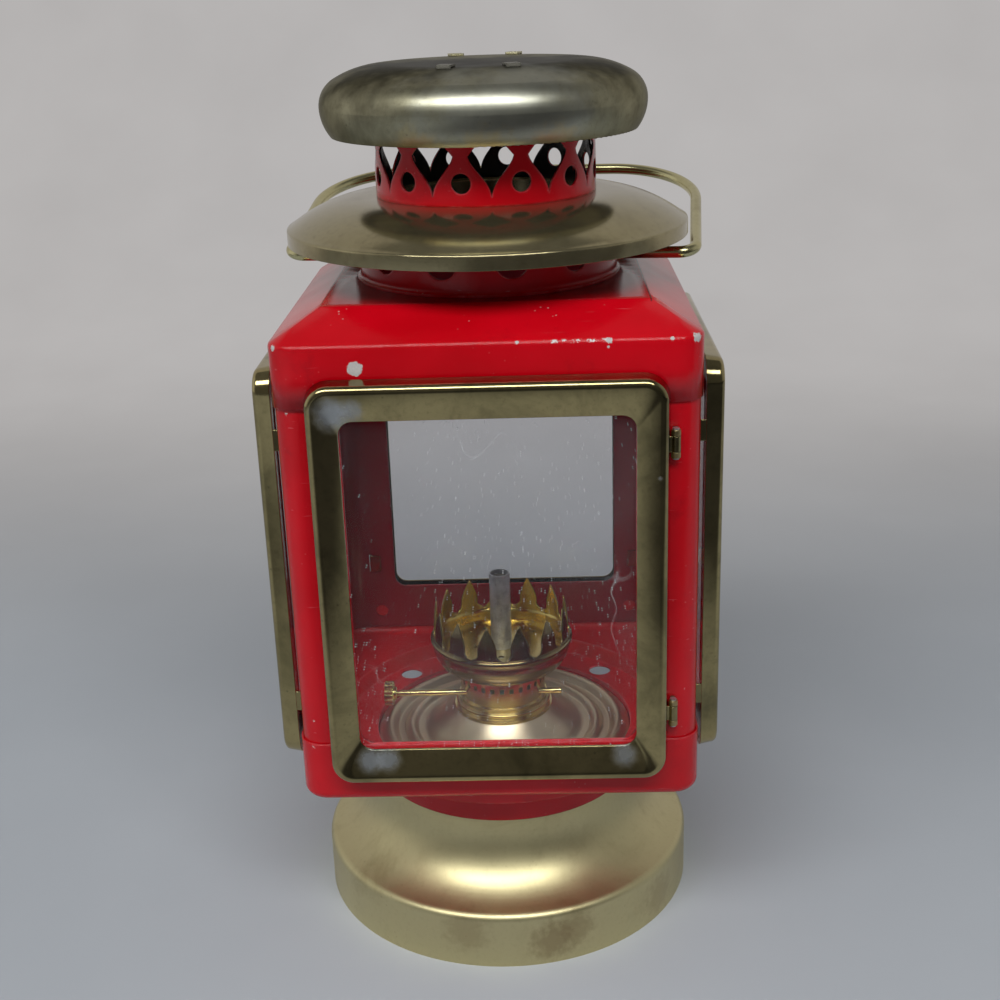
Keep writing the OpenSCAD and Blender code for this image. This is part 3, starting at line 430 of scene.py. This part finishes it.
cap_brass = old_brass("brass_cap", (0.40, 0.375, 0.25), (0.24, 0.22, 0.14), (0.11, 0.09, 0.05),
                      amount=0.45, rough=(0.29, 0.41), speckle=0.55, ring=1400.0,
                      patches=CAP_MARKS, grazing=0.40)
brim_brass = old_brass("brass_brim", (0.36, 0.31, 0.175), (0.23, 0.19, 0.10), (0.12, 0.09, 0.05),
                       amount=0.35, rough=(0.11, 0.21), speckle=0.45, ring=900.0, grain=0.5, metal=0.90)
foot_brass = old_brass("brass_foot", (0.62, 0.55, 0.31), (0.47, 0.40, 0.21), (0.28, 0.20, 0.10),
                       amount=0.24, rough=(0.35, 0.47), speckle=0.22, ring=1100.0, patches=FOOT_MARKS)
frame_brass = old_brass("brass_frame", *FRAME_LOOK, grain=0.5)
door_brass = old_brass("brass_door", *FRAME_LOOK, patches=DOOR_MARKS, grain=0.5, matte=0.4, ragged=0.35)
lid_brass = old_brass("brass_lid", (0.72, 0.60, 0.40), (0.56, 0.46, 0.29), (0.34, 0.26, 0.16),
                      amount=0.15, rough=(0.34, 0.44), speckle=0.15, ring=900.0, grain=0.4)
burner_brass = old_brass("brass_burner", (0.76, 0.60, 0.25), (0.55, 0.42, 0.15), (0.28, 0.19, 0.07),
                         amount=0.25, rough=(0.14, 0.26), speckle=0.22, ring=1200.0, grain=0.6)
# the crown's outside colours are far darker than its inward lining: painted shade for the dark surroundings
# mirrored in the outer prongs
crown_brass = old_brass("brass_crown", (0.36, 0.27, 0.13), (0.24, 0.17, 0.08), (0.12, 0.08, 0.04),
                        amount=0.35, rough=(0.12, 0.24), speckle=0.30, ring=1200.0, grain=0.6,
                        lining=(0.84, 0.64, 0.20))
hinge_brass = old_brass("brass_hinge", (0.46, 0.36, 0.18), (0.30, 0.23, 0.11), (0.16, 0.11, 0.05),
                        amount=0.40, rough=(0.28, 0.45), speckle=0.4)
wire_brass = old_brass("brass_wire", (0.58, 0.53, 0.29), (0.38, 0.33, 0.16), (0.20, 0.16, 0.07),
                       amount=0.25, rough=(0.14, 0.26), speckle=0.3)
steel = grey_steel("steel")
wick_cotton = cotton("cotton")
door_pane = dusty_glass("glass_door", (1.0, 0.0, 1.0), haze=0.020, dust=0.80, hairs=0.22)
back_pane = dusty_glass("glass_back", (1.0, 0.0, 1.0), haze=0.012, dust=0.4, hairs=0.2)
side_pane = dusty_glass("glass_side", (0.0, 1.0, 1.0), haze=0.012, dust=0.4, hairs=0.2)

DRESS = {
    "base_skirt": foot_brass, "base_plate": steel, "tank_drum": lid_brass, "tank_lid": lid_brass,
    "burner_collar": burner_brass, "burner_body": burner_brass, "burner_crown": burner_brass,
    "air_plate": burner_brass, "wick_tube": steel, "wick": wick_cotton, "raiser_shaft": burner_brass,
    "raiser_wheel": steel, "raiser_knob": burner_brass, "neck_collar": red_tray, "floor_tray": red_tray,
    "wall_sleeve": red_wall, "hood": red_hood, "flue_collar": red_flue, "brim": brim_brass,
    "vent_gallery": red_gallery, "cap": cap_brass, "left_frame": frame_brass, "right_frame": frame_brass,
    "back_frame": frame_brass, "left_glass": side_pane, "right_glass": side_pane, "back_glass": back_pane,
    "door_frame": door_brass, "door_glass": door_pane, "hinge_brackets": hinge_brass, "hinge_pins": steel,
    "bail": wire_brass,
}
for node, mat in DRESS.items():
    data = NODES[node].data
    data.materials.clear()
    data.materials.append(mat)


def add_piece(name, bm, mat, body, sharp, node=None):
    """Turn a mesh in mm into a piece that rides on a body and may stand for a node. Edges that bend by more
    than sharp degrees stay sharp."""
    bmesh.ops.recalc_face_normals(bm, faces=bm.faces)
    bmesh.ops.scale(bm, vec=(MM, MM, MM), verts=bm.verts)
    me = bpy.data.meshes.new(name)
    for f in bm.faces:
        f.smooth = True
    bm.to_mesh(me)
    bm.free()
    me.set_sharp_from_angle(angle=math.radians(sharp))
    me.materials.append(mat)
    piece = bpy.data.objects.new(name, me)
    bpy.context.scene.collection.objects.link(piece)
    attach(piece, body)
    if node:
        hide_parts(node)
    return piece


def give_thickness(piece, sheet):
    """Sheet of this thickness in mm, laid on the inner side."""
    skin = piece.modifiers.new("sheet", "SOLIDIFY")
    skin.thickness = sheet * MM
    skin.offset = -1.0
    skin.use_even_offset = True


def arc(centre, r, start, end, steps):
    """Points on a circular arc, angles in degrees."""
    turns = [math.radians(start + (end - start) * i / steps) for i in range(steps + 1)]
    return [(centre[0] + r * math.cos(a), centre[1] + r * math.sin(a)) for a in turns]


def quarter_turn(x, y, k):
    """A point turned by k quarters about the upright axis."""
    c, s = math.cos(math.pi / 2 * k), math.sin(math.pi / 2 * k)
    return c * x - s * y, s * x + c * y


def ring_at(bm, r, z, turns):
    """New points at radius r and height z, one for each angle."""
    return [bm.verts.new((r * math.cos(a), r * math.sin(a), z)) for a in turns]


def join_rings(bm, rings):
    """Faces between neighbouring closed rings of points."""
    for a, b in zip(rings, rings[1:]):
        for i in range(len(a)):
            j = (i + 1) % len(a)
            bm.faces.new((a[i], a[j], b[j], b[i]))


def lathe(profile, steps):
    """A closed outline of radius and height, turned about the upright axis."""
    bm = bmesh.new()
    turns = [2 * math.pi * i / steps for i in range(steps)]
    rings = [ring_at(bm, r, z, turns) for r, z in profile]
    join_rings(bm, rings + rings[:1])
    return bm


def make_brim():
    """The brass brim: a spun dome, flat under the gallery and steeper towards its turned-down edge."""
    low, high = (c / MM for c in (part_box("brim")[0][2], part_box("brim")[1][2]))
    rim_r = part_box("brim")[1][0] / MM
    foot_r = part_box("vent_gallery")[1][0] / MM
    sheet, edge, edge_depth, hole_r, wall_r = 0.8, 0.7, 4.3, 29.2, 35.7
    past_foot, power = 0.6, 2.3
    dome_steps, lip_steps, around = 28, 5, 160
    rim_top = low + edge_depth
    turn_r = rim_r - edge
    dome = []
    for i in range(dome_steps + 1):
        t = i / dome_steps
        dome.append((foot_r + past_foot + (turn_r - foot_r - past_foot) * t,
                     high - (high - rim_top) * t ** power))
    fall = math.atan2(power * (high - rim_top), turn_r - foot_r - past_foot)
    lip = arc((turn_r, rim_top - edge), edge, 90 - math.degrees(fall), 0, lip_steps)
    profile = [(hole_r, high)] + dome + lip[1:]
    profile += [(rim_r, low), (rim_r - sheet, low), (rim_r - sheet, rim_top - sheet - edge),
                (rim_r - sheet - edge, rim_top - sheet), (wall_r, rim_top - sheet),
                (wall_r, high - 2 * sheet), (hole_r, high - sheet)]
    add_piece("brim_dome", lathe(profile, around), brim_brass, "lantern", sharp=30.0, node="brim")


def make_crown():
    """The burner's crown: a spun bowl with a rolled lip, and broad pointed prongs that lean in."""
    low, high = (c / MM for c in (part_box("burner_crown")[0][2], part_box("burner_crown")[1][2]))
    lip_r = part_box("burner_crown")[1][0] / MM
    prongs, across, rows, sheet = 13, 10, 14, 0.5
    first = math.radians(-90 - 10.7)
    throat_r, throat_ease, bowl_rise, bowl_steps = 13.7, 0.4, 9.4, 12
    lip_up, lip_height, lip_steps, stem_up = 1.0, 11.5, 6, 1.9
    # a prong's half width as a share of the pitch, and shares of its height where the shape changes
    gap_edge, shoulder_half, waist, waist_at = 0.5, 0.31, 0.02, 0.5
    opens_by, tapers_from, taper_power, tip = 0.16, 0.34, 1.25, 0.03
    lean, lean_power = 1.0, 1.4

    def prong_half(t):
        shoulder = shoulder_half - waist * math.sin(math.pi * min(t / waist_at, 1.0))
        open_up = min(t / opens_by, 1.0)
        half = gap_edge - (gap_edge - shoulder) * math.sin(open_up * math.pi / 2)
        if t > tapers_from:
            half *= (1 - ((t - tapers_from) / (1 - tapers_from)) ** taper_power) * (1 - tip) + tip
        return half

    bowl_top = low + lip_height - lip_up
    bowl = [(throat_r, low), (throat_r, bowl_top - bowl_rise)]
    for i in range(bowl_steps + 1):
        a = math.radians(90 * i / bowl_steps)
        bowl.append((throat_r + throat_ease + (lip_r - throat_r - lip_up) * math.sin(a),
                     bowl_top - bowl_rise * math.cos(a)))
    bowl += arc((lip_r - lip_up, bowl_top + lip_up), lip_up, -50, 60, lip_steps)
    stem_r, stem_z = lip_r - lip_up, bowl_top + stem_up * lip_up
    bm = bmesh.new()
    count = prongs * across
    pitch = 2 * math.pi / prongs
    around = [first - pitch / 2 + pitch * i / across for i in range(count)]
    rings = [ring_at(bm, r, z, around) for r, z in bowl + [(stem_r, stem_z)]]
    join_rings(bm, rings)
    for k in range(prongs):
        mid = first + pitch * k
        below = [rings[-1][(k * across + i) % count] for i in range(across + 1)]
        for n in range(1, rows + 1):
            t = n / rows
            half = prong_half(t)
            turns = [mid + pitch * half * (2 * i / across - 1) for i in range(across + 1)]
            row = ring_at(bm, stem_r - lean * t ** lean_power, stem_z + (high - stem_z) * t, turns)
            for i in range(across):
                bm.faces.new((below[i], below[i + 1], row[i + 1], row[i]))
            below = row
    piece = add_piece("crown_prongs", bm, crown_brass, "font", sharp=50.0, node="burner_crown")
    give_thickness(piece, sheet)


def rounded_path(half_x, half_z, r):
    """A rounded rectangle, as points, seen from outside."""
    corner_steps = 10
    path = []
    for k, (sx, sz) in enumerate(((1, 1), (-1, 1), (-1, -1), (1, -1))):
        path += arc((sx * (half_x - r), sz * (half_z - r)), r, 90 * k, 90 * k + 90, corner_steps)
    return path


def make_frame_skins():
    """The pressed brass of the four window frames: a leaning skirt, a rolled ridge and a face that falls
    inward to a thin lip. Each skin closes round its solid frame and shows in its place."""
    low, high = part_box("back_frame")
    half_x, half_z, ridge = high[0] / MM, (high[2] - low[2]) / MM / 2, high[1] / MM
    mid_z = (high[2] + low[2]) / MM / 2
    depth, corner, over = 5.0, 7.0, 0.12
    window_x, window_z, window_r = 39.5, 49.0, 4.0
    roll_centre, roll_r, roll_steps = (2.35, 3.35), 1.8, 12
    # heights above the frame's back, and how far the hidden rows lie inside the outline
    foot, lip, lip_eased, under = 0.05, 3.05, 2.93, 2.25
    under_in, foot_in = 2.0, 1.6
    back = ridge - depth

    def outer(u):
        return rounded_path(half_x - u, half_z - u, corner - u)

    def inner(u):
        return rounded_path(window_x + u, window_z + u, window_r + u)

    roll = [(outer(u), v) for u, v in arc(roll_centre, roll_r, 180, 71, roll_steps)]
    rows = [(outer(-over), foot)] + roll
    rows += [(inner(0.0), lip), (inner(-over), lip_eased), (inner(-over), under)]
    rows += [(outer(under_in), under), (outer(foot_in), foot)]
    sides = (("door_frame", "door", door_brass), ("right_frame", "lantern", frame_brass),
             ("back_frame", "lantern", frame_brass), ("left_frame", "lantern", frame_brass))
    for k, (node, body, mat) in enumerate(sides):
        bm = bmesh.new()
        rings = []
        for path, v in rows:
            rings.append([bm.verts.new((*quarter_turn(x, -(back + v), k), mid_z + z)) for x, z in path])
        join_rings(bm, rings + rings[:1])
        add_piece(node + "_skin", bm, mat, body, sharp=40.0)


def make_lid():
    """The tank's lid: two rounded rings, and a hollow cone up to the burner's collar."""
    low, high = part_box("tank_lid")
    out_r, foot, top = high[0] / MM, low[2] / MM, high[2] / MM
    sheet, rim_ease, neck_r, cone_r, cone_in = 0.8, 0.3, 15.6, 26.5, 4.0
    ring_power, cone_power = 1.2, 1.7
    rings = ((37.6, 3.0, 2.1), (30.4, 2.3, 1.6))  # middle radius, half width, rise
    steps, around = 96, 128
    plate = foot + sheet

    def height(r):
        z = plate
        for mid, half, rise in rings:
            if abs(r - mid) < half:
                z += rise * math.cos(math.pi / 2 * (r - mid) / half) ** ring_power
        if r < cone_r:
            z += (top - plate) * ((cone_r - r) / (cone_r - neck_r)) ** cone_power
        return z

    radii = [out_r - rim_ease + (neck_r - out_r + rim_ease) * i / steps for i in range(steps + 1)]
    profile = [(out_r, plate - rim_ease)] + [(r, height(r)) for r in radii]
    profile += [(neck_r - sheet, top), (neck_r - sheet, top - sheet), (cone_r - cone_in, foot), (out_r, foot)]
    add_piece("lid_spun", lathe(profile, around), lid_brass, "font", sharp=40.0, node="tank_lid")


def make_hood():
    """The hood: an upright skirt, a rounded eave, four slopes that meet in hips, and a flat with a hole for
    the flue."""
    low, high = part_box("hood")
    half, foot, top = high[0] / MM, low[2] / MM, high[2] / MM
    run, rise, corner, sheet, hole_r = 13.5, 7.8, 7.4, 0.6, 37.1
    eave_ease, fold_ease, tighten, least_r = 1.3, 0.5, 2.0, 0.25
    ease_steps, corner_steps, side_steps = 5, 6, 14
    eave, lean = top - rise, math.atan2(rise, run)

    def outline(u):
        """The hood's plan drawn in by u, its corners ever tighter."""
        r = max(corner - tighten * u, least_r)
        h = half - u
        path = []
        for k in range(4):
            side = [(h, -(h - r) + 2 * (h - r) * i / side_steps) for i in range(side_steps)]
            side += arc((h - r, h - r), r, 0, 90, corner_steps)[:-1]
            path += [quarter_turn(x, y, k) for x, y in side]
        return path

    def bend(u, z, r, start, end):
        """Points round an edge eased with radius r; u and z are where its two faces meet."""
        half_turn = math.radians(end - start) / 2
        back = r / math.cos(half_turn)
        mid = math.radians((start + end) / 2)
        centre = (u + back * math.cos(mid), z - back * math.sin(mid))
        turns = [math.radians(start + (end - start) * i / ease_steps) for i in range(ease_steps + 1)]
        return [(centre[0] - r * math.cos(a), centre[1] + r * math.sin(a)) for a in turns]

    tilt = 90 - math.degrees(lean)
    profile = [(0.0, foot), (0.0, foot + 0.5 * (eave - foot))]
    profile += bend(0.0, eave, eave_ease, 0, tilt) + [(run * 0.5, eave + rise * 0.5)]
    profile += bend(run, top, fold_ease, tilt, 90)
    bm = bmesh.new()
    rings = [[bm.verts.new((x, y, z)) for x, y in outline(u)] for u, z in profile]
    rings.append(ring_at(bm, hole_r, top, [math.atan2(v.co.y, v.co.x) for v in rings[-1]]))
    join_rings(bm, rings)
    piece = add_piece("hood_hipped", bm, red_hood, "lantern", sharp=60.0, node="hood")
    give_thickness(piece, sheet)


make_brim()
make_hood()
make_crown()
make_frame_skins()
make_lid()

FLOOR_NEAR = ((0.45, 0.475, 0.51), (0.52, 0.545, 0.58))
FLOOR_FAR = ((0.43, 0.415, 0.41), (0.50, 0.485, 0.48))
FLOOR_MIRRORED = (0.05, 0.05, 0.055)


def make_cyclorama():
    """A pale floor that curves up into a plain backdrop, in metres. Mirrored in metal, its front is dark."""
    me = bpy.data.meshes.new("floor")
    bm = bmesh.new()
    front, turn_at, bend, top, half, steps = -2.6, 0.55, 0.5, 2.4, 2.6, 12
    path = [(front, 0.0), (turn_at, 0.0)]
    for i in range(1, steps + 1):
        a = math.radians(90 * i / steps)
        path.append((turn_at + bend * math.sin(a), bend * (1 - math.cos(a))))
    path.append((turn_at + bend, top))
    rows = [[bm.verts.new((x, y, z)) for x in (-half, half)] for y, z in path]
    for a, b in zip(rows, rows[1:]):
        f = bm.faces.new((a[0], a[1], b[1], b[0]))
        f.smooth = True
    bm.to_mesh(me)
    bm.free()
    floor = bpy.data.objects.new("floor", me)
    bpy.context.scene.collection.objects.link(floor)
    m = Mat("floor_pale")
    cloud = m.noise(9.0, 4.0, 0.5)
    far = m.ramp(m.axis("Y"), 0.10, 0.70)
    mirrored = m.new("ShaderNodeLightPath").outputs["Is Glossy Ray"]
    ahead = m.times(m.ramp(m.axis("Y"), -0.15, -0.36), m.ramp(m.axis("X"), -0.50, -0.10))
    near_c = m.mix(cloud, *FLOOR_NEAR)
    far_c = m.mix(cloud, *FLOOR_FAR)
    m.set("Base Color", m.mix(m.times(ahead, mirrored), m.mix(far, near_c, far_c), FLOOR_MIRRORED))
    m.set("Roughness", 0.95)
    m.set("Specular IOR Level", 0.1)
    m.glow_when_seen(far, far_c)
    me.materials.append(m.mat)


def make_world():
    """Soft grey light from the sides and back, dim from the front and overhead."""
    world = bpy.data.worlds.new("studio")
    bpy.context.scene.world = world
    world.use_nodes = True
    nt = world.node_tree
    nt.nodes.clear()
    out = nt.nodes.new("ShaderNodeOutputWorld")
    bg = nt.nodes.new("ShaderNodeBackground")
    co = nt.nodes.new("ShaderNodeTexCoord")
    sep = nt.nodes.new("ShaderNodeSeparateXYZ")
    nt.links.new(co.outputs["Generated"], sep.inputs[0])

    def fade(axis, low, high, to_min, to_max):
        """A level that goes from to_min to to_max as the direction goes from low to high on one axis."""
        n = nt.nodes.new("ShaderNodeMapRange")
        n.interpolation_type = "SMOOTHSTEP"
        for name, v in (("From Min", low), ("From Max", high), ("To Min", to_min), ("To Max", to_max)):
            n.inputs[name].default_value = v
        nt.links.new(sep.outputs[axis], n.inputs["Value"])
        return n.outputs["Result"]

    def times(a, b):
        n = nt.nodes.new("ShaderNodeMath")
        n.operation = "MULTIPLY"
        nt.links.new(a, n.inputs[0])
        nt.links.new(b, n.inputs[1])
        return n.outputs[0]

    from_front = fade("Y", -0.70, -0.05, 0.10, 0.62)
    to_right = fade("X", -0.30, 0.90, 1.0, 0.60)
    overhead = fade("Z", 0.50, 0.85, 1.0, 0.25)
    nt.links.new(times(times(from_front, to_right), overhead), bg.inputs["Color"])
    nt.links.new(bg.outputs["Background"], out.inputs["Surface"])


def area_light(name, place, aim, size, power, colour):
    """A rectangular lamp: place, aim and size in metres, power in watts."""
    data = bpy.data.lights.new(name, "AREA")
    data.shape = "RECTANGLE"
    data.size, data.size_y = size
    data.energy = power
    data.color = colour
    lamp = bpy.data.objects.new(name, data)
    lamp.location = place
    lamp.rotation_euler = (Vector(aim) - Vector(place)).to_track_quat("-Z", "Y").to_euler()
    bpy.context.scene.collection.objects.link(lamp)


def make_camera():
    """The camera at the photograph's viewing angle, with its slight roll in radians."""
    place = Vector((0.01369, -0.4233, 0.2837))
    aim = Vector((0.0010, 0.0, 0.1297))
    roll = -0.0331
    ahead = (aim - place).normalized()
    right = ahead.cross(Vector((0, 0, 1))).normalized()
    up = right.cross(ahead)
    c, s = math.cos(roll), math.sin(roll)
    x, y = c * right + s * up, c * up - s * right
    m = Matrix((x, y, -ahead)).transposed().to_4x4()
    m.translation = place
    data = bpy.data.cameras.new("camera")
    data.sensor_width = 36.0
    data.sensor_fit = "HORIZONTAL"
    data.lens = 51.86
    data.clip_start = 0.01
    cam = bpy.data.objects.new("camera", data)
    cam.matrix_world = m
    bpy.context.scene.collection.objects.link(cam)
    bpy.context.scene.camera = cam


make_cyclorama()
make_world()
area_light("key", place=(-0.08, -0.80, 1.10), aim=(0.0, 0.0, 0.20), size=(1.6, 0.35), power=15.0,
           colour=(0.97, 0.99, 1.0))
make_camera()
bpy.context.scene.view_settings.view_transform = "Standard"
